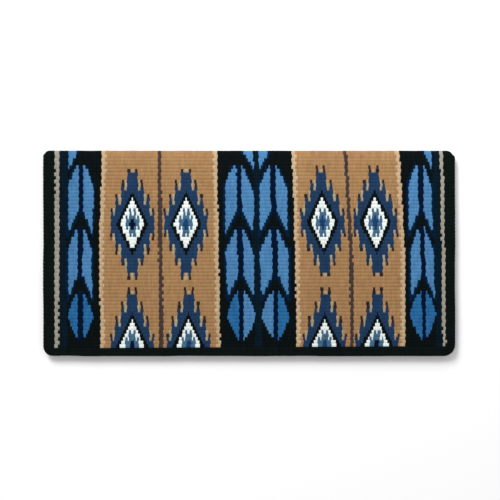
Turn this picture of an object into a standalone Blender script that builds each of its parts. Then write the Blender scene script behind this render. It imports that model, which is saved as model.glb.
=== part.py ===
"""Folded wool saddle blanket pad: one heavy tapestry-woven square, folded once along the spine.

It lies flat: X runs along the horse's spine (front end at -X), the fold is at +Y, the two free drop
edges are at -Y, and Z is up. The lower layer is the off-side flap, the upper one the near-side flap,
and the strip that turns over the horse's back joins them. Each woven colour area is a solid of its own.
Metres throughout; the origin is the centre of the bottom of the folded pad.
"""

import math

import bpy

# ---------------------------------------------------------------- driving dimensions (metres)
LENGTH = 0.864  # along the spine, 34 in
DEPTH = 0.432  # folded, from the drop edges to the outside of the fold
LAYER = 0.008  # thickness of the woven layer
LAYER_GAP = 0.001  # air between the two layers
CLEAR = 0.0003  # gap between neighbouring colour areas
BORDER = 0.0176  # dark border along the drop edge
DROP_RADIUS = 0.022  # rounded corners of the drop edge
PINSTRIPE_FRONT = 0.0075
PINSTRIPE_REAR = 0.0056
DIVIDER = 0.0076
MEDALLION_HALF_WIDTH = 0.046
MEDALLION_HALF_HEIGHT = 0.119
FLAP_SETBACK = 0.002  # the stiff slab stops this far before the turn

HALF = LENGTH / 2
Z_MID = LAYER + LAYER_GAP / 2  # height of the plane between the layers
R_MID = (LAYER + LAYER_GAP) / 2  # radius of the middle of the cloth round the fold
Y_TURN = DEPTH / 2 - R_MID - LAYER / 2  # where the cloth starts to turn
Y_DROP = -DEPTH / 2
Y_BORDER = Y_DROP + BORDER
Y_FLAP = Y_TURN - FLAP_SETBACK
QUARTER = math.pi * R_MID / 4  # places the two hinge lines so that the cloth keeps its length
HINGE_Y = Y_TURN + QUARTER
HINGE_LOW_Z = Z_MID - QUARTER
HINGE_HIGH_Z = Z_MID + QUARTER

# ---------------------------------------------------------------- a clean scene and its collections
for old in list(bpy.data.objects):
    bpy.data.objects.remove(old, do_unlink=True)

parts = bpy.data.collections.new("saddle_pad")
bpy.context.scene.collection.children.link(parts)


def yarn(name, colour, roughness=0.9):
    mat = bpy.data.materials.new(name)
    mat.use_nodes = True
    shader = next(n for n in mat.node_tree.nodes if n.type == "BSDF_PRINCIPLED")
    shader.inputs["Base Color"].default_value = (*colour, 1.0)
    shader.inputs["Roughness"].default_value = roughness
    shader.inputs["Metallic"].default_value = 0.0
    mat.diffuse_color = (*colour, 1.0)
    return mat


BLACK = yarn("wool_black", (0.006, 0.008, 0.008))
CREAM = yarn("wool_cream", (0.42, 0.39, 0.31))
FEATHER = yarn("wool_feather_blue", (0.07, 0.20, 0.40))
TAN = yarn("wool_tan", (0.36, 0.21, 0.095))
PLUM = yarn("wool_dark_plum", (0.045, 0.03, 0.035))
NAVY = yarn("wool_navy", (0.016, 0.045, 0.115))


# ---------------------------------------------------------------- bodies as empties on their axes
def empty(name, location, parent=None):
    e = bpy.data.objects.new(name, None)
    e.empty_display_size = 0.03
    parts.objects.link(e)
    e.location = location
    if parent is not None:
        e.parent = parent
        e.location = [a - b for a, b in zip(location, parent.matrix_world.translation)]
    bpy.context.view_layer.update()
    return e


off_flap = empty("body_off_flap", (0, 0, 0))
spine = empty("body_spine", (0, HINGE_Y, HINGE_LOW_Z), off_flap)
near_flap = empty("body_near_flap", (0, HINGE_Y, HINGE_HIGH_Z), spine)
OFF_Z = LAYER / 2
NEAR_Z = LAYER + LAYER_GAP + LAYER / 2


# ---------------------------------------------------------------- flat woven areas
def outline_curve(name, loops, thickness):
    """A flat outline with holes, as a filled 2D curve of the given thickness about its plane."""
    cu = bpy.data.curves.new(name, "CURVE")
    cu.dimensions = "2D"
    cu.fill_mode = "BOTH"
    cu.extrude = thickness / 2
    for loop in loops:
        sp = cu.splines.new("POLY")
        sp.points.add(len(loop) - 1)
        for p, (x, y) in zip(sp.points, loop):
            p.co = (x, y, 0, 1)
        sp.use_cyclic_u = True
    return cu


def place(obj, body, location, material):
    parts.objects.link(obj)
    obj.parent = body
    obj.location = [
        a - b for a, b in zip(location, body.matrix_world.translation)
    ]
    obj.data.materials.clear()
    obj.data.materials.append(material)


def both_layers(name, loops, material):
    """The same woven area on the near-side flap (upper) and on the off-side flap (lower)."""
    for side, body, z in (("near", near_flap, NEAR_Z), ("off", off_flap, OFF_Z)):
        cu = outline_curve(f"{side}_{name}", loops, LAYER)
        obj = bpy.data.objects.new(f"{side}_{name}", cu)
        place(obj, body, (0, 0, z), material)


# The weaver's colour changes wander a little from the fold down to the drop edge: each is given at
# the fold, half way down and at the border.
KNOTS = (Y_FLAP, 0.007, Y_BORDER)


def edge(top, middle, low):
    return lambda y: (
        middle + (top - middle) * (y - KNOTS[1]) / (KNOTS[0] - KNOTS[1])
        if y >= KNOTS[1]
        else middle + (low - middle) * (y - KNOTS[1]) / (KNOTS[2] - KNOTS[1])
    )


def shifted(f, d):
    return lambda y: f(y) + d


FRONT_PIN = edge(-0.4060, -0.4070, -0.4077)
FRONT_FEATHER = shifted(FRONT_PIN, PINSTRIPE_FRONT)
TAN_1 = edge(-0.3095, -0.3150, -0.3116)
DIVIDER_F0 = edge(-0.1910, -0.1906, -0.1895)
DIVIDER_F1 = shifted(DIVIDER_F0, DIVIDER)
CENTRE_0 = edge(-0.0674, -0.0643, -0.0605)
CENTRE_1 = edge(0.0890, 0.0955, 0.0988)
DIVIDER_R0 = edge(0.1980, 0.2085, 0.2104)
DIVIDER_R1 = shifted(DIVIDER_R0, DIVIDER)
TAN_4 = edge(0.3150, 0.3255, 0.3256)
REAR_PIN = edge(0.3997, 0.4030, 0.4053)
REAR_END = shifted(REAR_PIN, PINSTRIPE_REAR)
FRONT_EDGE = shifted(lambda y: -HALF, -CLEAR / 2)
REAR_EDGE = shifted(lambda y: HALF, CLEAR / 2)


def band_loop(left, right, y_low=Y_BORDER + CLEAR, y_high=Y_FLAP):
    """A band between two colour changes, held clear of its neighbours."""
    g = CLEAR / 2
    ys = [y_low, KNOTS[1], y_high]
    return [(left(y) + g, y) for y in ys] + [(right(y) - g, y) for y in reversed(ys)]


def medallion_side():
    """Right-hand outline of a serrated medallion, top to middle, in shares of its half width and half
    height: four steps, each with a pointed prong at its outer edge."""
    steps = 4
    side = [(0.0, 0.905)]
    for k in range(steps):
        tip_x = 0.235 + 0.229 * k
        tip_y = 1.0 - 0.25 * k
        if k:
            side.append((tip_x - 0.13, tip_y - 0.09))
        side.append((tip_x, tip_y))
    side.append((1.0, 0.0))
    return side


def medallion_loop(cx, cy, lean, grow, half=False):
    """The whole outline, or the upper half down to the border. grow widens it evenly for a hole."""
    right = medallion_side()
    if not half:
        right = right + [(x, -y) for x, y in reversed(right[:-1])]
    w, h = MEDALLION_HALF_WIDTH, MEDALLION_HALF_HEIGHT
    left = [(-x, y) for x, y in reversed(right) if x > 0]
    pts = [(x * w, y * h) for x, y in right + left]
    if grow:
        pts = grown(pts, grow)
    if half:
        pts = [(x, max(y, 0.0)) for x, y in pts]
    return [(cx + x - lean * y, cy + y) for x, y in pts]


def grown(pts, d):
    """Each side of a closed clockwise outline moved outwards by d, meeting at mitred corners."""
    out, n = [], len(pts)
    for i in range(n):
        (x0, y0), (x1, y1), (x2, y2) = pts[i - 1], pts[i], pts[(i + 1) % n]
        a, b = math.hypot(x1 - x0, y1 - y0), math.hypot(x2 - x1, y2 - y1)
        n0 = (-(y1 - y0) / a, (x1 - x0) / a)
        n1 = (-(y2 - y1) / b, (x2 - x1) / b)
        k = 1 + n0[0] * n1[0] + n0[1] * n1[1]
        out.append((x1 + d * (n0[0] + n1[0]) / k, y1 + d * (n0[1] + n1[1]) / k))
    return out


# full medallions: centre x, centre y, lean; half medallions stand on the border
FULL = ((-0.2446, 0.0616, 0.0), (-0.1323, 0.0620, 0.0), (0.1543, 0.0650, 0.044), (0.2649, 0.0650, 0.040))
HALVES = (-0.2444, -0.1271, 0.1598, 0.2695)
HALF_LEAN = (0.0, 0.0, 0.03, 0.03)


def tan_panel(number, left, right):
    """A tan panel with the opening for its full medallion and the notch for its half medallion."""
    cx, cy, lean = FULL[number - 1]
    hx, hlean = HALVES[number - 1], HALF_LEAN[number - 1]
    outer = band_loop(left, right)
    notch = medallion_loop(hx, Y_BORDER + CLEAR, hlean, CLEAR, half=True)
    # the low edge runs from the left side to the notch, over it, and on to the right side
    peak = [p for p in notch if p[1] > Y_BORDER + CLEAR + 1e-6]
    leftmost = min(i for i, p in enumerate(peak) if p[0] == min(q[0] for q in peak))
    over = peak[leftmost:] + peak[:leftmost]
    foot = MEDALLION_HALF_WIDTH + CLEAR * 1.2
    low = Y_BORDER + CLEAR
    over = [(hx - foot, low)] + over + [(hx + foot, low)]
    g = CLEAR / 2
    loop = [(left(KNOTS[0]) + g, KNOTS[0]), (left(KNOTS[1]) + g, KNOTS[1]), (left(low) + g, low)]
    loop += over
    loop += [(right(low) - g, low), (right(KNOTS[1]) - g, KNOTS[1]), (right(KNOTS[0]) - g, KNOTS[0])]
    hole = medallion_loop(cx, cy, lean, CLEAR)
    both_layers(f"tan_panel_{number}", [loop, hole], TAN)
    both_layers(f"medallion_{number}", [medallion_loop(cx, cy, lean, 0)], NAVY)
    inlay = medallion_loop(hx, low, hlean, 0, half=True)
    both_layers(f"half_medallion_{number}", [inlay], NAVY)


both_layers("front_end_band", [band_loop(FRONT_EDGE, FRONT_PIN)], BLACK)
both_layers("front_pinstripe", [band_loop(FRONT_PIN, FRONT_FEATHER)], CREAM)
both_layers("front_feather_band", [band_loop(FRONT_FEATHER, TAN_1)], FEATHER)
tan_panel(1, TAN_1, DIVIDER_F0)
both_layers("front_tan_divider", [band_loop(DIVIDER_F0, DIVIDER_F1)], PLUM)
tan_panel(2, DIVIDER_F1, CENTRE_0)
both_layers("centre_feather_band", [band_loop(CENTRE_0, CENTRE_1)], FEATHER)
tan_panel(3, CENTRE_1, DIVIDER_R0)
both_layers("rear_tan_divider", [band_loop(DIVIDER_R0, DIVIDER_R1)], PLUM)
tan_panel(4, DIVIDER_R1, TAN_4)
both_layers("rear_feather_band", [band_loop(TAN_4, REAR_PIN)], FEATHER)
both_layers("rear_pinstripe", [band_loop(REAR_PIN, REAR_END)], CREAM)
both_layers("rear_end_band", [band_loop(REAR_END, REAR_EDGE)], BLACK)


# ---------------------------------------------------------------- dark border of the drop edge
def rounded_corner(cx, cy, r, a0, a1, steps=6):
    return [
        (cx + r * math.cos(a0 + (a1 - a0) * i / steps), cy + r * math.sin(a0 + (a1 - a0) * i / steps))
        for i in range(steps + 1)
    ]


def border_loop():
    """The border takes in as much of both rounded corners as lies below its upper edge."""
    r = DROP_RADIUS
    cy = Y_DROP + r
    rise = Y_BORDER - cy  # the border ends a little below the top of the corner's arc
    a = math.asin(rise / r)
    left = rounded_corner(-HALF + r, cy, r, math.pi - a, 1.5 * math.pi)
    right = rounded_corner(HALF - r, cy, r, -0.5 * math.pi, a)
    return left + right


both_layers("drop_border", [border_loop()], BLACK)


# ---------------------------------------------------------------- the strip over the spine
def turn_profile():
    """Section of the turned strip in (y, z) about the start of the turn: flat inside, round outside."""
    inner = R_MID - LAYER / 2
    outer = R_MID + LAYER / 2
    reach = math.pi * R_MID / 2 - CLEAR
    round_r = 0.005
    small = 0.001
    return (
        rounded_corner(outer - round_r, -reach + round_r, round_r, -0.5 * math.pi, 0, 5)
        + rounded_corner(outer - round_r, reach - round_r, round_r, 0, 0.5 * math.pi, 5)
        + [(inner + small, reach), (inner, reach - small), (inner, -reach + small), (inner + small, -reach)]
    )


def spine_section(name, x0, x1, material):
    """One colour area of the spine strip, as the section drawn in (y, z) and run along X."""
    g = CLEAR / 2
    cu = outline_curve(name, [turn_profile()], (x1 - g) - (x0 + g))
    obj = bpy.data.objects.new(name, cu)
    # the outline's x becomes +Y and its y becomes +Z
    obj.rotation_euler = (math.pi / 2, 0, math.pi / 2)
    place(obj, spine, ((x0 + x1) / 2, Y_TURN, Z_MID), material)


top = KNOTS[0]
spine_section("spine_front_end", -HALF - CLEAR / 2, FRONT_PIN(top), BLACK)
spine_section("spine_front_feather", FRONT_PIN(top), TAN_1(top), FEATHER)
spine_section("spine_front_tan", TAN_1(top), CENTRE_0(top), TAN)
spine_section("spine_centre_feather", CENTRE_0(top), CENTRE_1(top), FEATHER)
spine_section("spine_rear_tan", CENTRE_1(top), TAN_4(top), TAN)
spine_section("spine_rear_feather", TAN_4(top), REAR_END(top), FEATHER)
spine_section("spine_rear_end", REAR_END(top), HALF + CLEAR / 2, BLACK)

bpy.context.view_layer.update()
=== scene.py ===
"""Looks of the folded wool saddle blanket pad: every colour area rebuilt as weft-faced tapestry cloth.

The cloth is one woven layer, folded once along the spine. Ribs (the covered warps) run along X, and the
weft goes over and under them along Y, so each rib shows a row of short yarn floats, and the floats of
neighbouring ribs stand half a float apart. The yarn of each float comes from the drawn design.
Metres throughout, in the frame of the CAD.
"""

import math

import bpy
import numpy as np
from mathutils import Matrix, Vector


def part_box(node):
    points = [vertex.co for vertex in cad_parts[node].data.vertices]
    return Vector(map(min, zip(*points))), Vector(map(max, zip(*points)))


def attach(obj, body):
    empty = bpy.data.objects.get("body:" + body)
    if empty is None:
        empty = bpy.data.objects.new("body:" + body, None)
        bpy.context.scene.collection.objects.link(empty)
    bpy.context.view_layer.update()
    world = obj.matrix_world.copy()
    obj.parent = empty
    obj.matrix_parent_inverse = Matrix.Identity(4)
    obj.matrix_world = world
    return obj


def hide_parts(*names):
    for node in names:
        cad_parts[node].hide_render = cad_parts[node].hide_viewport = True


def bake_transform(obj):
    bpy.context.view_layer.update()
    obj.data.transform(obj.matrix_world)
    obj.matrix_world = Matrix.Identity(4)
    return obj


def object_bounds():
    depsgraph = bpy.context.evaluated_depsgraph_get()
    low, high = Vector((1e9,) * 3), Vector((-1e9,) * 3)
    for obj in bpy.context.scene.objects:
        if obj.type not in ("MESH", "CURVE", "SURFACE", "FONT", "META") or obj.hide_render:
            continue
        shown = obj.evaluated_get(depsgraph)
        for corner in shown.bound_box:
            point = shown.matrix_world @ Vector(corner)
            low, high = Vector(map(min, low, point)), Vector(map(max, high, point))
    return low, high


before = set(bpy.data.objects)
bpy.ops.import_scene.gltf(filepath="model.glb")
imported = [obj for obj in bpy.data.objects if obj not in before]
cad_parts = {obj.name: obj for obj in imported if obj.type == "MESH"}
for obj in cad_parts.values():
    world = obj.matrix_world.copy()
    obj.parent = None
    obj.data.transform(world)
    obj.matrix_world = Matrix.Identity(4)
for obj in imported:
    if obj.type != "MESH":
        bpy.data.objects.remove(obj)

cad_lo, cad_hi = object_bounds()

# ---------------------------------------------------------------- sizes, from the CAD nodes
NEAR_LO, NEAR_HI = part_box("near_drop_border")
OFF_LO, OFF_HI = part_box("off_drop_border")
LAYER = NEAR_HI.z - NEAR_LO.z
Z_MID = (NEAR_LO.z + OFF_HI.z) / 2  # the plane between the two layers
R_MID = (NEAR_LO.z + NEAR_HI.z) / 2 - Z_MID  # radius of the cloth's middle round the fold
X_FRONT, X_REAR = cad_lo.x, cad_hi.x
LENGTH = X_REAR - X_FRONT
Y_DROP = cad_lo.y
Y_FOLD = cad_hi.y
Y_TURN = Y_FOLD - R_MID - LAYER / 2  # where the cloth starts to turn over
Y_BORDER = NEAR_HI.y

# ---------------------------------------------------------------- the weave
COLUMNS = 720  # mesh columns along X, two to a float
COL = LENGTH / COLUMNS
BORDER_RIBS = 2
FIELD_RIBS = 55
SPINE_RIBS = 4  # the ribs next to the fold, which go into the spine pieces
ROWS_PER_RIB = 4
RIB_DEPTH = 0.00125
STRAND_DEPTH = 0.00038
EDGE_ROUND = 0.0046  # the cloth thins to a rounded edge within this
U_TURN = Y_TURN - Y_DROP
U_END = U_TURN + math.pi / 2 * R_MID  # along the cloth, drop edge to the middle of the fold
DROP_CORNER = (0.021, 0.025)  # front, rear
FOLD_CORNER = (0.012, 0.019)
BORDER_SLANT = ((0.15, 0.87), (0.0003, 0.0038))  # shares of the length, and how much deeper the border is there


def rib_lines():
    low = np.linspace(0, Y_BORDER - Y_DROP, BORDER_RIBS + 1)
    high = np.linspace(Y_BORDER - Y_DROP, U_END, FIELD_RIBS + 1)
    return np.concatenate([low, high[1:]])


RIBS = rib_lines()
N_RIBS = len(RIBS) - 1


def row_lines():
    """Every mesh row: its distance along the cloth, its rib and its share of that rib."""
    us, ribs, shares = [], [], []
    for r in range(N_RIBS):
        if r == 0:
            steps = [0, 0.018, 0.06, 0.13, 0.24, 0.4, 0.6, 0.8]
        elif r == N_RIBS - 1:
            steps = [k / 8 for k in range(8)]
        else:
            steps = [k / ROWS_PER_RIB for k in range(ROWS_PER_RIB)]
        for s in steps:
            us.append(RIBS[r] + s * (RIBS[r + 1] - RIBS[r]))
            ribs.append(r)
            shares.append(s)
    us.append(RIBS[-1])
    ribs.append(N_RIBS - 1)
    shares.append(1.0)
    return np.array(us), np.array(ribs), np.array(shares)


U_LINES, U_RIB, U_SHARE = row_lines()
CELL_RIB = U_RIB[:-1]


def column_lines():
    base = np.linspace(0, LENGTH, COLUMNS + 1)
    extra = np.array([0.00012, 0.0004, 0.0008])
    return np.sort(np.concatenate([base, extra, LENGTH - extra]))


X_LINES = column_lines()
CELL_COL = np.minimum(((X_LINES[:-1] + X_LINES[1:]) / 2 / COL).astype(int), COLUMNS - 1)


def wander(seed, n, step, size):
    """A smooth random run of n values, one knot every `step` of them."""
    knots = np.random.default_rng(seed).uniform(-size, size, n // step + 3)
    t = np.arange(n) / step
    i = t.astype(int)
    f = t - i
    f = f * f * (3 - 2 * f)
    return knots[i] * (1 - f) + knots[i + 1] * f


# ---------------------------------------------------------------- the design
def knots_of(node):
    """Heights of a plain band's corners with its left and right edges there."""
    co = np.array([v.co[:2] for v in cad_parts[node].data.vertices], float)
    ys = np.unique(co[:, 1].round(4))
    rows = [co[np.abs(co[:, 1] - y) < 1.5e-4] for y in ys]
    return ys, np.array([r[:, 0].min() for r in rows]), np.array([r[:, 0].max() for r in rows])


def edge_between(left_node, right_node):
    """The colour change between two neighbouring plain bands, as a function of height."""
    if left_node is None:
        ys, left, _ = knots_of(right_node)
        return lambda y: np.interp(y, ys, left)
    ys, _, right = knots_of(left_node)
    return lambda y: np.interp(y, ys, right)


EDGES = [
    edge_between("near_front_end_band", "near_front_pinstripe"),
    edge_between("near_front_pinstripe", "near_front_feather_band"),
    edge_between("near_front_feather_band", "near_tan_panel_1"),
    edge_between(None, "near_front_tan_divider"),
    edge_between("near_front_tan_divider", "near_tan_panel_2"),
    edge_between(None, "near_centre_feather_band"),
    edge_between("near_centre_feather_band", "near_tan_panel_3"),
    edge_between(None, "near_rear_tan_divider"),
    edge_between("near_rear_tan_divider", "near_tan_panel_4"),
    edge_between(None, "near_rear_feather_band"),
    edge_between("near_rear_feather_band", "near_rear_pinstripe"),
    edge_between("near_rear_pinstripe", "near_rear_end_band"),
]
# the woven edges stand this far beside the CAD ones, metres
EDGE_SHIFT = (0, 0.0012, 0.0009, 0, 0, 0, 0.0009, 0, 0, 0.0003, 0.0003, 0.0013)
# and the dividers' sides this much more at these heights, the lowest first
DIVIDER_KNOTS = (-0.150, -0.060, 0.150)
DIVIDER_SHIFT = {3: (0.0003, 0, 0), 4: (0.0021, 0.0020, 0), 7: (0.0012, 0.0010, 0.0004), 8: (0.0021, 0.0019, 0.0004)}
AREAS = [
    "front_end_band", "front_pinstripe", "front_feather_band", "tan_panel_1", "front_tan_divider",
    "tan_panel_2", "centre_feather_band", "tan_panel_3", "rear_tan_divider", "tan_panel_4",
    "rear_feather_band", "rear_pinstripe", "rear_end_band", "drop_border",
    "medallion_1", "medallion_2", "medallion_3", "medallion_4",
    "half_medallion_1", "half_medallion_2", "half_medallion_3", "half_medallion_4",
]
AREA = {name: i for i, name in enumerate(AREAS)}
YARNS = [
    "black", "ground", "deep_navy", "tan", "edging_cream", "pinstripe_cream", "feather_blue", "navy",
    "white", "star_blue", "plum", "border_black", "notch_cream",
    "shadow_navy", "deep_blue", "heart_blue", "tip_dark",
]
YARN = {name: i for i, name in enumerate(YARNS)}

MED_W, MED_H = 0.046, 0.119
# right-hand outline of a serrated medallion from the top to the middle: four tiers, each with a slim
# prong at its outer edge and a notch between the prong and the tier above (metres from the centre)
PRONGS = (
    (0.0000, 0.1080), (0.0046, 0.1080), (0.0054, 0.1190), (0.0104, 0.1190),
    (0.0120, 0.0715), (0.0160, 0.0715), (0.0178, 0.0915), (0.0226, 0.0915),
    (0.0246, 0.0435), (0.0288, 0.0435), (0.0304, 0.0625), (0.0352, 0.0625),
    (0.0368, 0.0165), (0.0406, 0.0165), (0.0420, 0.0320), (0.0466, 0.0320),
    (0.0450, 0.0000),
)
# pale weft in each notch: inner and outer side, lower and upper end
NOTCHES = (
    (0.0000, 0.0030, 0.1060, 0.1180), (0.0118, 0.0152, 0.0700, 0.0930),
    (0.0244, 0.0278, 0.0420, 0.0650), (0.0366, 0.0398, 0.0150, 0.0340),
)
TIPS = ((0.0050, 0.1090), (0.0176, 0.0815), (0.0300, 0.0530), (0.0416, 0.0230))
# how the four columns of medallions lean, and where the half ones stand beside their CAD outlines
MED_LEAN = (0.0, 0.0, 0.044, 0.040)
HALF_LEAN = (-0.006, -0.006, -0.024, -0.016)
HALF_FOOT = (-0.0010, 0.0000, -0.0022, -0.0020)


def middle_of(node):
    lo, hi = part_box(node)
    return (lo + hi) / 2


def inside(px, py, loop):
    """Which points lie inside a closed outline."""
    found = np.zeros(px.shape, bool)
    for (x0, y0), (x1, y1) in zip(loop, loop[1:] + loop[:1]):
        if y0 == y1:
            continue
        cut = (y0 > py) != (y1 > py)
        at = x0 + (py - y0) / (y1 - y0) * (x1 - x0)
        found ^= cut & (px < at)
    return found


SIDE = list(PRONGS)
FULL_LOOP = SIDE + [(x, -y) for x, y in reversed(SIDE[:-1])]
FULL_LOOP = FULL_LOOP + [(-x, y) for x, y in reversed(FULL_LOOP) if x > 0]


def medallion(x, y, yarn, area, name, cx, cy, lean, half, heart_yarn):
    """Draws one medallion: navy serrated ground, black outline, white lozenge, blue star. A half one,
    cut off by the border, is drawn a little larger."""
    size = 1.045 if half else 0.98
    dy = (y - cy) / size
    dx = x - cx + lean * dy
    a, b = np.abs(dx), np.abs(dy)
    body = inside(dx, dy, FULL_LOOP) & (y > Y_BORDER)
    area[body] = AREA[name]
    yarn[body] = YARN["navy"]
    for x0, y0 in TIPS:  # the prongs end in a dark yarn
        tip = body & (a > x0) & (a < x0 + 0.0058) & (b > y0) & (b < y0 + 0.014)
        yarn[tip] = YARN["tip_dark"]
    for x0, x1, y0, y1 in NOTCHES:
        notch = (a >= x0) & (a < x1) & (b > y0) & (b < y1) & ~body & (y > Y_BORDER)
        yarn[notch] = YARN["notch_cream"]
    wide, tall = (0.0268, 0.0568) if half else (0.0252, 0.0550)
    outline = body & (a / (wide + 0.0086) + b / (tall + 0.0140) < 1)
    yarn[outline] = YARN["black"]
    white = body & (a / wide + b / tall < 1)
    yarn[white] = YARN["white"]
    b = np.abs(dy - (0.0070 if half else 0.0))  # a half one's star stands a little higher
    core = (a < 0.0072) & (b < 0.0300) & ~((a < 0.0020) & (b > 0.0215))
    arms = (a < 0.0144) & (b < 0.0150) & ~((a > 0.0072) & (a < 0.0098) & (b > 0.0075))
    star = white & (core | arms)
    yarn[star] = YARN["star_blue"]
    heart = white & (a / 0.0074 + b / (0.0100 if half else 0.0150) < 1)
    yarn[heart] = YARN[heart_yarn]


# Heights of the feathers: inner top, outer top, inner bottom and outer bottom of each, in metres.
FEATHERS = (
    (0.1862, 0.1432, 0.0888, 0.0432),
    (0.0532, 0.0071, -0.0452, -0.0920),
)
LAST_FEATHER = (-0.0808, -0.1806)  # inner top and bottom
# where the last feather is widest, on the left and the right, and how rounded its top is
LAST_WIDEST = {
    "front_feather_band": (-0.1298, -0.1337, 1.3),
    "centre_feather_band": (-0.1298, -0.1335, 1.65),
    "rear_feather_band": (-0.1265, -0.1292, 1.75),
}
REMNANT = (0.2186, 0.1767)  # inner bottom and outer bottom of the feather that the fold cuts off
# Feather columns at three heights: outer and inner side of the left half, inner and outer side of the
# right half, in metres from the band's left edge half way down. They wander like the stripes do.
COLUMN_KNOTS = (-0.1269, -0.0180, 0.1118)
COLUMNS_OF = {
    "front_feather_band": (
        (((0.0220, 0.0411, 0.0515, 0.0705), (0.0196, 0.0392, 0.0506, 0.0698), (0.0220, 0.0419, 0.0530, 0.0727)), (True, False)),
    ),
    "centre_feather_band": (
        (((0.0207, 0.0428, 0.0538, 0.0761), (0.0155, 0.0397, 0.0528, 0.0730), (0.0137, 0.0370, 0.0487, 0.0733)), (False, True)),
        (((0.0920, 0.1162, 0.1250, 0.1466), (0.0872, 0.1120, 0.1250, 0.1470), (0.0852, 0.1089, 0.1208, 0.1430)), (True, False)),
    ),
    "rear_feather_band": (
        (((0.0128, 0.0364, 0.0444, 0.0637), (0.0130, 0.0338, 0.0433, 0.0611), (0.0073, 0.0285, 0.0395, 0.0567)), (False, True)),
    ),
}


# How the tops of the first and the second feather run, for the left and the right half of each column:
# how much lower than the table says they reach full width, and how rounded they are (1 is straight).
TOPS = {
    "front_feather_band": ((((0.0000, 1.5), (0.0030, 1.35)), ((0.0045, 1.35), (0.0065, 1.35))),),
    "centre_feather_band": (
        (((0.0030, 1.7), (0.0020, 1.0)), ((0.0165, 1.0), (0.0095, 1.2))),
        (((0.0040, 1.3), (0.0005, 1.0)), ((0.0075, 1.05), (0.0075, 1.05))),
    ),
    "rear_feather_band": ((((0.0000, 1.65), (0.0040, 1.25)), ((0.0070, 1.1), (0.0000, 1.1))),),
}


def feather_band(x, y, yarn, mask, left_edge, name):
    origin = left_edge(np.array([0.007]))[0]
    yarn[mask] = YARN["black"]
    previous = None
    for (places, (keep_left, keep_right)), tops in zip(COLUMNS_OF[name], TOPS[name]):
        l0, l1, r0, r1 = (origin + np.interp(y, COLUMN_KNOTS, [p[k] for p in places]) for k in range(4))
        if name == "front_feather_band":
            yarn[mask & (x < l0 - 0.003)] = YARN["ground"]
        if name == "rear_feather_band":
            yarn[mask & (x > r1 + 0.003)] = YARN["ground"]
        if previous is not None:
            yarn[mask & (x > previous) & (x < l0)] = YARN["ground"]
        previous = r1
        halves = ((l1, l0, keep_left, tops[0]), (r0, r1, keep_right, tops[1]))
        for half, (inner, outer, keep, top_runs) in enumerate(halves):
            reach = np.abs(outer - inner)
            t = (x - inner) / (outer - inner)  # 0 at the quill, 1 at the outer side
            run = np.clip(t, 0, 1)
            within = (t >= 0) & (t <= 1)
            beside = (t > 1) & (t < 1 + 0.0036 / reach)
            blade = np.zeros(x.shape, bool)
            shadow = np.zeros(x.shape, bool)
            for (top_in, top_out, low_in, low_out), (lower, rounded) in zip(FEATHERS, top_runs):
                top_out = top_out - lower
                top = top_in + (top_out - top_in) * run**rounded
                low = low_in + (low_out - low_in) * run
                blade |= within & (y < top) & (y > low)
                shadow |= beside & (y < top_out + 0.010) & (y > low_out - 0.012)
                shadow |= within & (y <= low) & (y > low - 0.0115)
                shadow |= within & (run > 0.30) & (y >= top) & (y < top + 0.0095)
            top_in, bottom = LAST_FEATHER
            widest = LAST_WIDEST[name][half]
            last_t = t * reach / (reach + 0.0024)  # it is a little wider than the others
            last_run = np.clip(last_t, 0, 1)
            top = top_in + (widest - top_in) * last_run ** LAST_WIDEST[name][2]
            low = bottom + (widest - 0.001 - bottom) * last_run**1.3
            last = (last_t >= 0) & (last_t <= 1) & (y < top) & (y > low)
            shadow |= within & (run > 0.45) & (y >= top) & (y < top + 0.0075)
            if keep:
                low = REMNANT[0] + (REMNANT[1] - REMNANT[0]) * run
                blade |= within & (y > low)
                shadow |= within & (y <= low) & (y > low - 0.0085)
            # navy shading along the blade's outer side and its lower end
            yarn[mask & shadow & (yarn != YARN["feather_blue"]) & (yarn != YARN["deep_blue"])] = YARN["shadow_navy"]
            yarn[mask & blade] = YARN["feather_blue"]
            yarn[mask & last] = YARN["feather_blue"] if name == "centre_feather_band" and keep else YARN["deep_blue"]
        quill = (x > l1) & (x < r0) & (y < FEATHERS[0][0] + 0.002) & (y > LAST_FEATHER[1])
        for (_, _, low_in, _), nxt in zip(FEATHERS, (FEATHERS[1][0], LAST_FEATHER[0])):
            quill &= ~((y < low_in - 0.008) & (y > nxt + 0.004))
        yarn[mask & quill] = YARN["deep_navy"]


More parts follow.
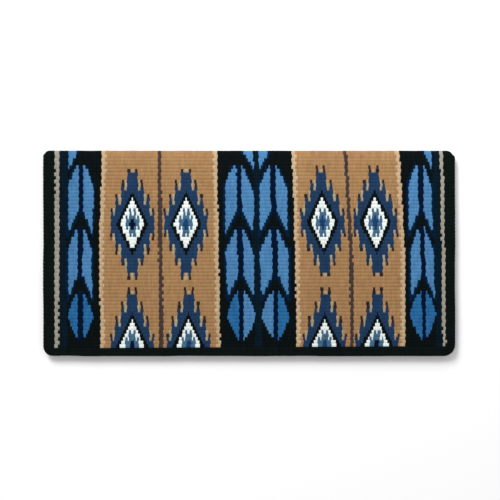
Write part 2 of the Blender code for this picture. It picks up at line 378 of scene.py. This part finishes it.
def design(x, y, side):
    """Area and yarn of the float at each point of the near-side flap, seen from above. side is +1 or -1
    by turns from rib to rib: the weaver's turning point steps to and fro with it, so edges are scalloped."""
    figure_x = x + 0.0003 * side
    feather_x = x + 0.0006 * side
    x = x + 0.00075 * side
    cuts = [e(y) + shift for e, shift in zip(EDGES, EDGE_SHIFT)]
    for k, shifts in DIVIDER_SHIFT.items():
        cuts[k] = cuts[k] + np.interp(y, DIVIDER_KNOTS, shifts)
    band = np.zeros(x.shape, int)
    for c in cuts:
        band += x > c
    area = band.copy()
    yarn = np.full(x.shape, YARN["tan"])
    yarn[(band == 0) | (band == 12)] = YARN["border_black"]
    yarn[(band == 1) | (band == 11)] = YARN["pinstripe_cream"]
    yarn[(band == 4) | (band == 8)] = YARN["plum"]
    pale = 0.0080 - 0.0009 * side * np.where((band == 3) | (band == 7), 1, -1)
    yarn[(band == 3) & (x < cuts[2] + pale)] = YARN["edging_cream"]
    yarn[(band == 5) & (x > cuts[5] - pale)] = YARN["edging_cream"]
    yarn[(band == 7) & (x < cuts[6] + pale)] = YARN["edging_cream"]
    yarn[(band == 9) & (x > cuts[9] - pale)] = YARN["edging_cream"]
    for name, i, edge in (("front_feather_band", 2, 1), ("centre_feather_band", 6, 5), ("rear_feather_band", 10, 9)):
        feather_band(feather_x, y, yarn, band == i, EDGES[edge], name)
    for k in range(4):
        c = middle_of(f"near_medallion_{k + 1}")
        heart = "deep_navy" if k == 0 else "heart_blue"
        medallion(figure_x, y, yarn, area, f"medallion_{k + 1}", c.x, c.y, MED_LEAN[k], False, heart)
        c = middle_of(f"near_half_medallion_{k + 1}")
        name = f"half_medallion_{k + 1}"
        heart = "heart_blue" if k in (1, 2) else "deep_navy"
        medallion(figure_x, y, yarn, area, name, c.x + HALF_FOOT[k], Y_BORDER, HALF_LEAN[k], True, heart)
    low = y < Y_BORDER
    area[low] = AREA["drop_border"]
    yarn[low] = YARN["border_black"]
    return area, yarn


def floats(parity_of_rib):
    """Area and yarn of every cell, where float f of a rib takes in two columns."""
    rib = np.arange(N_RIBS)
    par = (rib + parity_of_rib) % 2
    cols = np.arange(COLUMNS)
    f = (cols[None, :] + par[:, None]) // 2
    centre = X_FRONT + (2 * f - par[:, None] + 1) * COL
    drift = wander(11, N_RIBS, 7, 0.0003)[:, None] + wander(12, N_RIBS, 1, 0.00008)[:, None]
    stagger = np.repeat(np.where(par[:, None] == 0, 1.0, -1.0), COLUMNS, axis=1)
    y = Y_DROP + (RIBS[:-1] + RIBS[1:]) / 2
    y = np.repeat(y[:, None], COLUMNS, axis=1)
    area, yarn = design(centre + drift, y, stagger)
    return area, yarn, f


# ---------------------------------------------------------------- the cloth's surfaces
PRESSED = 0.045  # the cloth thins towards the fold over this length


def pressed(y_mid, theta):
    """Share of the outer half's thickness that is left, near the softly pressed fold."""
    full = R_MID + LAYER / 2
    crown = 0.0011  # the last rib's groove takes this much off at the crown

    def roll(y):
        q = np.clip((y - (Y_FOLD - PRESSED)) / (PRESSED + crown), 0, 1)
        return full * np.sqrt(1 - q**2.6)

    # on the flat part the roll's own height, round the turn its distance from the turn's centre
    flat = (roll(y_mid) - R_MID) / (LAYER / 2)
    near, far = np.full(theta.shape, 0.5 * full), np.full(theta.shape, full + crown)
    for _ in range(22):
        r = (near + far) / 2
        within = r * np.cos(theta) < roll(Y_TURN + r * np.sin(theta))
        near, far = np.where(within, r, near), np.where(within, far, r)
    turn = (near - R_MID) / (LAYER / 2)
    return np.where(theta > 0, turn, flat)


def cloth(side):
    """Vertex grids and normals of the outer and inner faces of one flap."""
    seed = 100 if side == "near" else 200
    rng = np.random.default_rng(seed)
    nu, nx = len(U_LINES), len(X_LINES)
    u = np.repeat(U_LINES[:, None], nx, axis=1)
    x = np.repeat(X_LINES[None, :], nu, axis=0)
    share = np.repeat(U_SHARE[:, None], nx, axis=1)
    rib = np.repeat(U_RIB[:, None], nx, axis=1)
    c = X_LINES / COL

    rise = np.sin(np.pi * np.clip(share, 0, 1)) ** 0.62
    rise = np.where((rib == 0) & (share < 0.5), 1.0, rise)

    ends = np.minimum(x, LENGTH - x)
    t_end = np.sqrt(1 - (1 - np.clip(ends / EDGE_ROUND, 0, 1)) ** 2)
    t_drop = np.sqrt(1 - (1 - np.clip(u / EDGE_ROUND, 0, 1)) ** 2)
    taper = t_end * t_drop

    # slow unevenness of a hand-woven piece
    waves = np.zeros(u.shape)
    for k in range(7):
        fx, fu = rng.uniform(4, 26, 2)
        waves += np.sin(2 * np.pi * (fx * x / LENGTH * rng.choice([-1, 1]) + fu * u * 1.4) + rng.uniform(0, 6.28))
    waves = np.clip(0.5 + waves / 7, 0, 1)

    theta = np.clip((u - U_TURN) / R_MID, 0, np.pi / 2)
    y_mid = np.where(u < U_TURN, Y_DROP + u, Y_TURN + R_MID * np.sin(theta))
    # the border is a little deeper towards the rear
    deeper = np.interp(x / LENGTH, BORDER_SLANT[0], BORDER_SLANT[1])
    y_mid = y_mid + deeper * np.interp(u, (0, Y_BORDER - Y_DROP, Y_BORDER - Y_DROP + 0.032), (0, 1, 0))
    thinned = {"outer": pressed(y_mid, theta), "inner": 1.0}

    faces = {}
    for face, flip in (("outer", 0), ("inner", 1)):
        par = (rib + flip) % 2
        phase = ((c[None, :] + par) / 2) % 1.0
        strand = 1 - np.abs(np.sin(np.pi * phase))
        f = np.clip(((c[None, :] + par) // 2).astype(int), 0, COLUMNS // 2 + 1)
        bulge = rng.uniform(0, 1, (N_RIBS, COLUMNS // 2 + 2))[rib, f]
        h = LAYER / 2 * taper * thinned[face]
        h = h - RIB_DEPTH * (1 - rise) * np.clip(taper * 1.15, 0, 1)
        h = h - STRAND_DEPTH * strand * rise * np.clip(taper * 1.4 - 0.4, 0, 1)
        h = h - 0.00022 * bulge * (1 - strand) * rise * taper
        h = h - (0.00042 if face == "outer" else 0.0002) * waves * taper
        faces[face] = np.maximum(h, 0.0005)

    # plan outline: rounded corners, ends scalloped by the ribs, a slightly uneven selvedge
    y_out = y_mid + LAYER / 2 * np.sin(theta)
    plan_x = X_FRONT + x
    row_wave = wander(seed + 3, nu, 26, 0.0005)[:, None]
    pull_y = np.zeros(u.shape)
    for e, (sign, dist) in enumerate(((1, x), (-1, LENGTH - x))):
        inset = np.zeros(u.shape)
        for r, d, up in ((DROP_CORNER[e], y_mid - Y_DROP, 1), (FOLD_CORNER[e], Y_FOLD - y_out, -1)):
            # the square corner of the grid pressed into a quarter circle
            p, q = np.clip(1 - dist / r, 0, 1), np.clip(1 - d / r, 0, 1)
            inset += r * p * (1 - np.sqrt(1 - q * q / 2))
            pull_y += up * r * q * (1 - np.sqrt(1 - p * p / 2))
        scallop = 0.0008 * (1 - rise) * np.clip(1 - dist / 0.010, 0, 1)
        drawn_in = ((row_wave if e else -row_wave) - 0.0001) * np.clip(1 - dist / 0.05, 0, 1)
        if side == "off":
            drawn_in = drawn_in + 0.0004 * np.clip(1 - dist / 0.05, 0, 1)
        plan_x = plan_x + sign * (inset + scallop + drawn_in)
    jitter = rng.uniform(-1, 1, (N_RIBS, COLUMNS // 2 + 2))
    f0 = np.clip(((c[None, :] + rib % 2) // 2).astype(int), 0, COLUMNS // 2 + 1)
    plan_x = plan_x + 0.00016 * jitter[rib, f0] * np.sin(np.pi * np.clip(share, 0, 1)) * np.clip(taper * 2 - 1, 0, 1)

    col_wave = np.interp(X_LINES, np.arange(0, LENGTH + 0.02, 0.01), wander(seed + 5, int(LENGTH / 0.01) + 3, 5, 0.0006)[: len(np.arange(0, LENGTH + 0.02, 0.01))])
    strand0 = 1 - np.abs(np.sin(np.pi * ((c / 2) % 1.0)))
    pull = (0.0006 + col_wave + 0.0003 * strand0)[None, :] * np.clip(1 - u / 0.02, 0, 1)
    if side == "off":
        pull = pull + 0.0005 * np.clip(1 - u / 0.02, 0, 1)
    y_mid = y_mid + pull + pull_y

    z_mid = Z_MID + np.where(u < U_TURN, R_MID, R_MID * np.cos(theta))
    n_y, n_z = np.sin(theta), np.cos(theta)
    grids = {}
    for face, s in (("outer", 1), ("inner", -1)):
        h = faces[face] * s
        y = y_mid + n_y * h
        z = z_mid + n_z * h
        if side == "off":
            z = 2 * Z_MID - z
        grids[face] = np.stack([plan_x, y, z], axis=-1)
        along = np.gradient(grids[face], axis=1)
        across = np.gradient(grids[face], axis=0)
        n = np.cross(along, across) * s * (1 if side == "near" else -1)
        grids[face + "_normal"] = n / np.maximum(np.linalg.norm(n, axis=-1, keepdims=True), 1e-12)
    return grids


# ---------------------------------------------------------------- yarns as materials
def srgb(r, g, b):
    def one(v):
        v /= 255
        return v / 12.92 if v <= 0.04045 else ((v + 0.055) / 1.055) ** 2.4

    return (one(r), one(g), one(b))


COLOURS = {
    "black": (srgb(9, 15, 16), srgb(3, 8, 10)),
    "border_black": (srgb(10, 18, 17), srgb(4, 11, 10)),
    "ground": (srgb(5, 24, 34), srgb(3, 15, 26)),
    "deep_navy": (srgb(1, 19, 47), srgb(1, 12, 29)),
    "tan": (srgb(151, 116, 78), srgb(135, 101, 65)),
    "edging_cream": (srgb(178, 155, 125), srgb(161, 136, 103)),
    "pinstripe_cream": (srgb(148, 144, 131), srgb(129, 124, 110)),
    "feather_blue": (srgb(71, 120, 164), srgb(54, 102, 144)),
    "navy": (srgb(21, 52, 85), srgb(16, 39, 66)),
    "white": (srgb(216, 222, 219), srgb(202, 209, 205)),
    "star_blue": (srgb(66, 101, 126), srgb(46, 80, 106)),
    "plum": (srgb(68, 54, 50), srgb(46, 36, 36)),
    "notch_cream": (srgb(155, 148, 121), srgb(136, 127, 100)),
    "deep_blue": (srgb(34, 97, 147), srgb(21, 79, 125)),
    "shadow_navy": (srgb(1, 29, 56), srgb(0, 20, 42)),
    "heart_blue": (srgb(12, 58, 102), srgb(6, 40, 78)),
    "tip_dark": (srgb(46, 36, 40), srgb(30, 24, 28)),
}


def node(tree, kind, **values):
    n = tree.nodes.new(kind)
    for key, value in values.items():
        if key in n.inputs:
            n.inputs[key].default_value = value
        else:
            setattr(n, key, value)
    return n


def wool(name, light, dark):
    """Carded wool yarn: fibres along the weft, a loose ply twist with painted shade in its grooves, uneven dye, a
    soft sheen.
    """
    m = bpy.data.materials.new(f"wool_yarn_{name}")
    m.use_nodes = True
    t = m.node_tree
    t.nodes.clear()
    out = node(t, "ShaderNodeOutputMaterial")
    bsdf = node(t, "ShaderNodeBsdfPrincipled")
    t.links.new(bsdf.outputs["BSDF"], out.inputs["Surface"])
    co = node(t, "ShaderNodeAttribute", attribute_name="weave_co")
    shade = node(t, "ShaderNodeAttribute", attribute_name="yarn_shade")

    fibre_map = node(t, "ShaderNodeMapping", Scale=(2600.0, 330.0, 900.0), Rotation=(0.0, 0.0, 0.16))
    t.links.new(co.outputs["Vector"], fibre_map.inputs["Vector"])
    fibre = node(t, "ShaderNodeTexNoise", Scale=1.0, Detail=4.0, Roughness=0.62)
    t.links.new(fibre_map.outputs["Vector"], fibre.inputs["Vector"])

    ply_map = node(t, "ShaderNodeMapping", Scale=(760.0, 420.0, 500.0), Rotation=(0.0, 0.0, 0.62))
    t.links.new(co.outputs["Vector"], ply_map.inputs["Vector"])
    ply = node(t, "ShaderNodeTexNoise", Scale=1.0, Detail=2.0, Roughness=0.5)
    t.links.new(ply_map.outputs["Vector"], ply.inputs["Vector"])

    dye_map = node(t, "ShaderNodeMapping", Scale=(190.0, 34.0, 60.0))
    t.links.new(co.outputs["Vector"], dye_map.inputs["Vector"])
    dye = node(t, "ShaderNodeTexNoise", Scale=1.0, Detail=3.0, Roughness=0.55)
    t.links.new(dye_map.outputs["Vector"], dye.inputs["Vector"])

    # tone: the two dye tones mixed by fibre and dye noise
    tone = node(t, "ShaderNodeMath", operation="MULTIPLY_ADD")
    t.links.new(fibre.outputs["Fac"], tone.inputs[0])
    tone.inputs[1].default_value = 0.9
    t.links.new(dye.outputs["Fac"], tone.inputs[2])
    spread = node(t, "ShaderNodeMapRange")
    spread.inputs["From Min"].default_value = 0.70
    spread.inputs["From Max"].default_value = 1.20
    t.links.new(tone.outputs["Value"], spread.inputs["Value"])
    mix = node(t, "ShaderNodeMix", data_type="RGBA", blend_type="MIX")
    colours = [s for s in mix.inputs if s.type == "RGBA"]
    colours[0].default_value = (*dark, 1.0)
    colours[1].default_value = (*light, 1.0)
    t.links.new(spread.outputs["Result"], mix.inputs["Factor"])
    mixed = next(s for s in mix.outputs if s.type == "RGBA")

    # each float has its own shade, and the ply noise darkens the colour where the bump is low: painted shade in the
    # ply grooves
    value = node(t, "ShaderNodeMath", operation="MULTIPLY_ADD")
    t.links.new(ply.outputs["Fac"], value.inputs[0])
    value.inputs[1].default_value = 0.34
    t.links.new(shade.outputs["Fac"], value.inputs[2])
    hue = node(t, "ShaderNodeHueSaturation")
    t.links.new(mixed, hue.inputs["Color"])
    t.links.new(value.outputs["Value"], hue.inputs["Value"])
    drift = node(t, "ShaderNodeMapRange")
    drift.inputs["From Min"].default_value = 0.3
    drift.inputs["From Max"].default_value = 0.7
    drift.inputs["To Min"].default_value = 0.4935
    drift.inputs["To Max"].default_value = 0.5065
    vat_map = node(t, "ShaderNodeMapping", Scale=(95.0, 60.0, 40.0), Location=(3.1, 7.7, 1.3))
    t.links.new(co.outputs["Vector"], vat_map.inputs["Vector"])
    vat = node(t, "ShaderNodeTexNoise", Scale=1.0, Detail=2.0, Roughness=0.6)
    t.links.new(vat_map.outputs["Vector"], vat.inputs["Vector"])
    t.links.new(vat.outputs["Fac"], drift.inputs["Value"])
    t.links.new(drift.outputs["Result"], hue.inputs["Hue"])
    t.links.new(hue.outputs["Color"], bsdf.inputs["Base Color"])

    rough = node(t, "ShaderNodeMapRange")
    rough.inputs["To Min"].default_value = 0.80
    rough.inputs["To Max"].default_value = 0.97
    t.links.new(fibre.outputs["Fac"], rough.inputs["Value"])
    t.links.new(rough.outputs["Result"], bsdf.inputs["Roughness"])

    height = node(t, "ShaderNodeMath", operation="MULTIPLY_ADD")
    t.links.new(ply.outputs["Fac"], height.inputs[0])
    height.inputs[1].default_value = 0.8
    t.links.new(fibre.outputs["Fac"], height.inputs[2])
    bump = node(t, "ShaderNodeBump", Strength=0.55, Distance=0.00042)
    t.links.new(height.outputs["Value"], bump.inputs["Height"])
    t.links.new(bump.outputs["Normal"], bsdf.inputs["Normal"])

    deep = max(light) < 0.05
    bsdf.inputs["Specular IOR Level"].default_value = 0.04 if deep else 0.15
    bsdf.inputs["Sheen Weight"].default_value = 0.006 if deep else 0.05
    bsdf.inputs["Sheen Roughness"].default_value = 0.45
    bsdf.inputs["Sheen Tint"].default_value = (*[0.5 + 0.5 * c for c in light], 1.0)
    return m


MATERIALS = [wool(name, *COLOURS[name]) for name in YARNS]


# ---------------------------------------------------------------- pieces
def piece(name, cells, grids, woven, side, shades):
    """A closed woven piece: the outer and inner faces over the marked cells, with walls round them."""
    nu, nx = cells.shape
    stride = nx + 1
    layer = (nu + 1) * stride
    jj, ii = np.nonzero(cells)
    a = jj * stride + ii
    b, d = a + 1, a + stride
    c = d + 1
    outer = np.stack([a, b, c, d], 1)
    inner = np.stack([d, c, b, a], 1) + layer

    padded = np.zeros((nu + 2, nx + 2), bool)
    padded[1:-1, 1:-1] = cells
    walls, wall_cell, wall_inside = [], [], []
    for (dj, di), (p, q) in (((0, -1), (d, a)), ((0, 1), (b, c)), ((-1, 0), (a, b)), ((1, 0), (c, d))):
        open_side = ~padded[jj + 1 + dj, ii + 1 + di]
        p, q = p[open_side], q[open_side]
        walls.append(np.stack([q, p, p + layer, q + layer], 1))
        wall_cell.append(np.nonzero(open_side)[0])
        j2, i2 = jj[open_side] + dj, ii[open_side] + di
        wall_inside.append((j2 >= 0) & (i2 >= 0) & (i2 < nx))
    walls = np.concatenate(walls)
    wall_cell = np.concatenate(wall_cell)
    wall_inside = np.concatenate(wall_inside)

    quads = np.concatenate([outer, inner, walls])
    if side == "off":
        quads = quads[:, ::-1]
    yarn_outer, yarn_inner = woven
    yarn = np.concatenate([yarn_outer[jj, ii], yarn_inner[jj, ii], yarn_outer[jj, ii][wall_cell]])
    shade = np.concatenate([shades[0][jj, ii], shades[1][jj, ii], shades[0][jj, ii][wall_cell]])
    flat_face = np.concatenate([np.zeros(2 * len(jj), bool), wall_inside])

    used, quads = np.unique(quads, return_inverse=True)
    quads = quads.reshape(-1, 4)
    points = np.concatenate([grids["outer"].reshape(-1, 3), grids["inner"].reshape(-1, 3)])[used]
    normals = np.concatenate([grids["outer_normal"].reshape(-1, 3), grids["inner_normal"].reshape(-1, 3)])[used]
    x_co = np.tile(np.repeat(X_LINES[None, :], len(U_LINES), 0).ravel(), 2)[used]
    u_co = np.tile(np.repeat(U_LINES[:, None], len(X_LINES), 1).ravel(), 2)[used]
    w_co = np.where(used >= layer, 0.37, 0.0) + (1.0 if side == "off" else 0.0)

    me = bpy.data.meshes.new(name)
    me.vertices.add(len(points))
    me.vertices.foreach_set("co", points.astype(np.float32).ravel())
    me.loops.add(quads.size)
    me.loops.foreach_set("vertex_index", quads.astype(np.int32).ravel())
    me.polygons.add(len(quads))
    me.polygons.foreach_set("loop_start", np.arange(0, quads.size, 4, dtype=np.int32))
    me.update(calc_edges=True)
    present = np.unique(yarn)
    for k in present:
        me.materials.append(MATERIALS[k])
    me.polygons.foreach_set("material_index", np.searchsorted(present, yarn).astype(np.int32))
    me.polygons.foreach_set("use_smooth", ~flat_face)
    co = me.attributes.new("weave_co", "FLOAT_VECTOR", "POINT")
    co.data.foreach_set("vector", np.stack([x_co, u_co, w_co], 1).astype(np.float32).ravel())
    sh = me.attributes.new("yarn_shade", "FLOAT", "FACE")
    sh.data.foreach_set("value", shade.astype(np.float32))
    me.update()
    me.validate()
    # the cloth's own normals on both faces, so no line shows where one piece meets the next
    corner = normals[quads.ravel()]
    side_wall = np.zeros(len(quads), bool)
    side_wall[2 * len(jj):] = True
    p = points[quads[side_wall]]
    flat_n = np.cross(p[:, 2] - p[:, 0], p[:, 3] - p[:, 1])
    flat_n /= np.maximum(np.linalg.norm(flat_n, axis=1, keepdims=True), 1e-12)
    corner[np.repeat(side_wall, 4)] = np.repeat(flat_n, 4, axis=0)
    me.normals_split_custom_set(corner.astype(np.float32))
    obj = bpy.data.objects.new(name, me)
    bpy.context.scene.collection.objects.link(obj)

    # flat size of the cut, along the cloth
    cell_w = np.diff(X_LINES)[ii]
    cell_l = np.diff(U_LINES)[jj]
    flat = (
        float(X_LINES[ii.max() + 1] - X_LINES[ii.min()]),
        float(U_LINES[jj.max() + 1] - U_LINES[jj.min()]),
    )
    return obj, flat, float((cell_w * cell_l).sum())


# a stripe a few yarns wide goes with the wider area beside it
SPINE = (  # CAD node, the areas it takes in, slot
    ("spine_front_end", (0,), "wool_black"),
    ("spine_front_feather", (1, 2), "wool_feather_blue"),
    ("spine_front_tan", (3, 4, 5), "wool_tan"),
    ("spine_centre_feather", (6,), "wool_feather_blue"),
    ("spine_rear_tan", (7, 8, 9), "wool_tan"),
    ("spine_rear_feather", (10, 11), "wool_feather_blue"),
    ("spine_rear_end", (12,), "wool_black"),
)

area_front, yarn_front, float_front = floats(0)
_, yarn_back, float_back = floats(1)


def spread_cells(table):
    return table[CELL_RIB][:, CELL_COL]


def float_shades(seed, fl):
    """A shade for every float: the yarn's own, the pick's and the batch's."""
    rng = np.random.default_rng(seed)
    own = rng.normal(0, 0.035, (N_RIBS, COLUMNS // 2 + 2))
    rib = np.arange(N_RIBS)[:, None]
    pick = rng.normal(0, 0.020, COLUMNS // 2 + 2)
    batch = wander(seed + 1, COLUMNS // 2 + 2, 9, 0.030)
    row = rng.normal(0, 0.012, N_RIBS)[:, None]
    return 0.83 + own[rib, fl] + pick[fl] + batch[fl] + row


spine_start = N_RIBS - SPINE_RIBS
is_spine = (CELL_RIB >= spine_start)[:, None]
areas = spread_cells(area_front)
for side, body in (("near", "near_flap"), ("off", "off_flap")):
    grids = cloth(side)
    woven = (spread_cells(yarn_front), spread_cells(yarn_back))
    seed = 31 if side == "near" else 61
    shades = (spread_cells(float_shades(seed, float_front)), spread_cells(float_shades(seed + 7, float_back)))
    for name, index in AREA.items():
        cells = (areas == index) & ~is_spine
        obj, flat, area = piece(f"{side}_{name}_weave", cells, grids, woven, side, shades)
        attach(obj, body)
        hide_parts(f"{side}_{name}")
    for name, bands, slot in SPINE:
        cells = np.isin(areas, bands) & is_spine
        obj, flat, area = piece(f"{name}_{side}_weave", cells, grids, woven, side, shades)
        if side == "near":
            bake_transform(obj)
        else:
            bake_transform(obj)
        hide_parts(name)

# ---------------------------------------------------------------- floor, light, camera
lo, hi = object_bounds()
mid = (cad_lo + cad_hi) / 2

floor_mesh = bpy.data.meshes.new("studio_floor")
R = 5.0
floor_mesh.from_pydata([(-R, -R, 0), (R, -R, 0), (R, R, 0), (-R, R, 0)], [], [(0, 1, 2, 3)])
floor = bpy.data.objects.new("studio_floor", floor_mesh)
floor.location = (0, 0, cad_lo.z - 0.0003)
bpy.context.scene.collection.objects.link(floor)
pale = bpy.data.materials.new("studio_floor_paint")
pale.use_nodes = True
shader = next(n for n in pale.node_tree.nodes if n.type == "BSDF_PRINCIPLED")
shader.inputs["Base Color"].default_value = (0.87, 0.87, 0.87, 1)
shader.inputs["Roughness"].default_value = 0.9
shader.inputs["Specular IOR Level"].default_value = 0.1
floor_mesh.materials.append(pale)


def area_light(name, place, target, size, power):
    data = bpy.data.lights.new(name, "AREA")
    data.shape = "RECTANGLE"
    data.size, data.size_y = size
    data.energy = power
    lamp = bpy.data.objects.new(name, data)
    lamp.location = place
    lamp.rotation_mode = "QUATERNION"
    lamp.rotation_quaternion = (Vector(target) - Vector(place)).to_track_quat("-Z", "Y")
    lamp.visible_camera = False
    bpy.context.scene.collection.objects.link(lamp)
    return lamp


area_light("key_softbox", (-2.35, 4.125, 3.80), (0, 0, 0), (2.5, 2.5), 350)
# a low strip along the fold side
area_light("fold_strip", (0.32, Y_FOLD + 0.20, 0.27), (0.32, Y_FOLD - 0.10, 0), (1.2, 0.10), 1.15)

world = bpy.data.worlds.new("studio_fill")
bpy.context.scene.world = world
world.use_nodes = True
background = next(n for n in world.node_tree.nodes if n.type == "BACKGROUND")
background.inputs["Color"].default_value = (1, 1, 1, 1)
background.inputs["Strength"].default_value = 0.64

bpy.context.scene.view_settings.view_transform = "Standard"

camera_data = bpy.data.cameras.new("camera")
camera_data.lens = 100
camera_data.sensor_width = 36
camera = bpy.data.objects.new("camera", camera_data)
bpy.context.scene.collection.objects.link(camera)
bpy.context.scene.camera = camera
VIEW_WIDTH = LENGTH * 500 / 412.6  # the pad takes 412.6 of the 500 columns
camera.location = (
    mid.x + 0.0018,
    mid.y + 0.0071,
    cad_hi.z + VIEW_WIDTH * camera_data.lens / camera_data.sensor_width,
)
camera_data.clip_end = 50

bpy.context.view_layer.update()
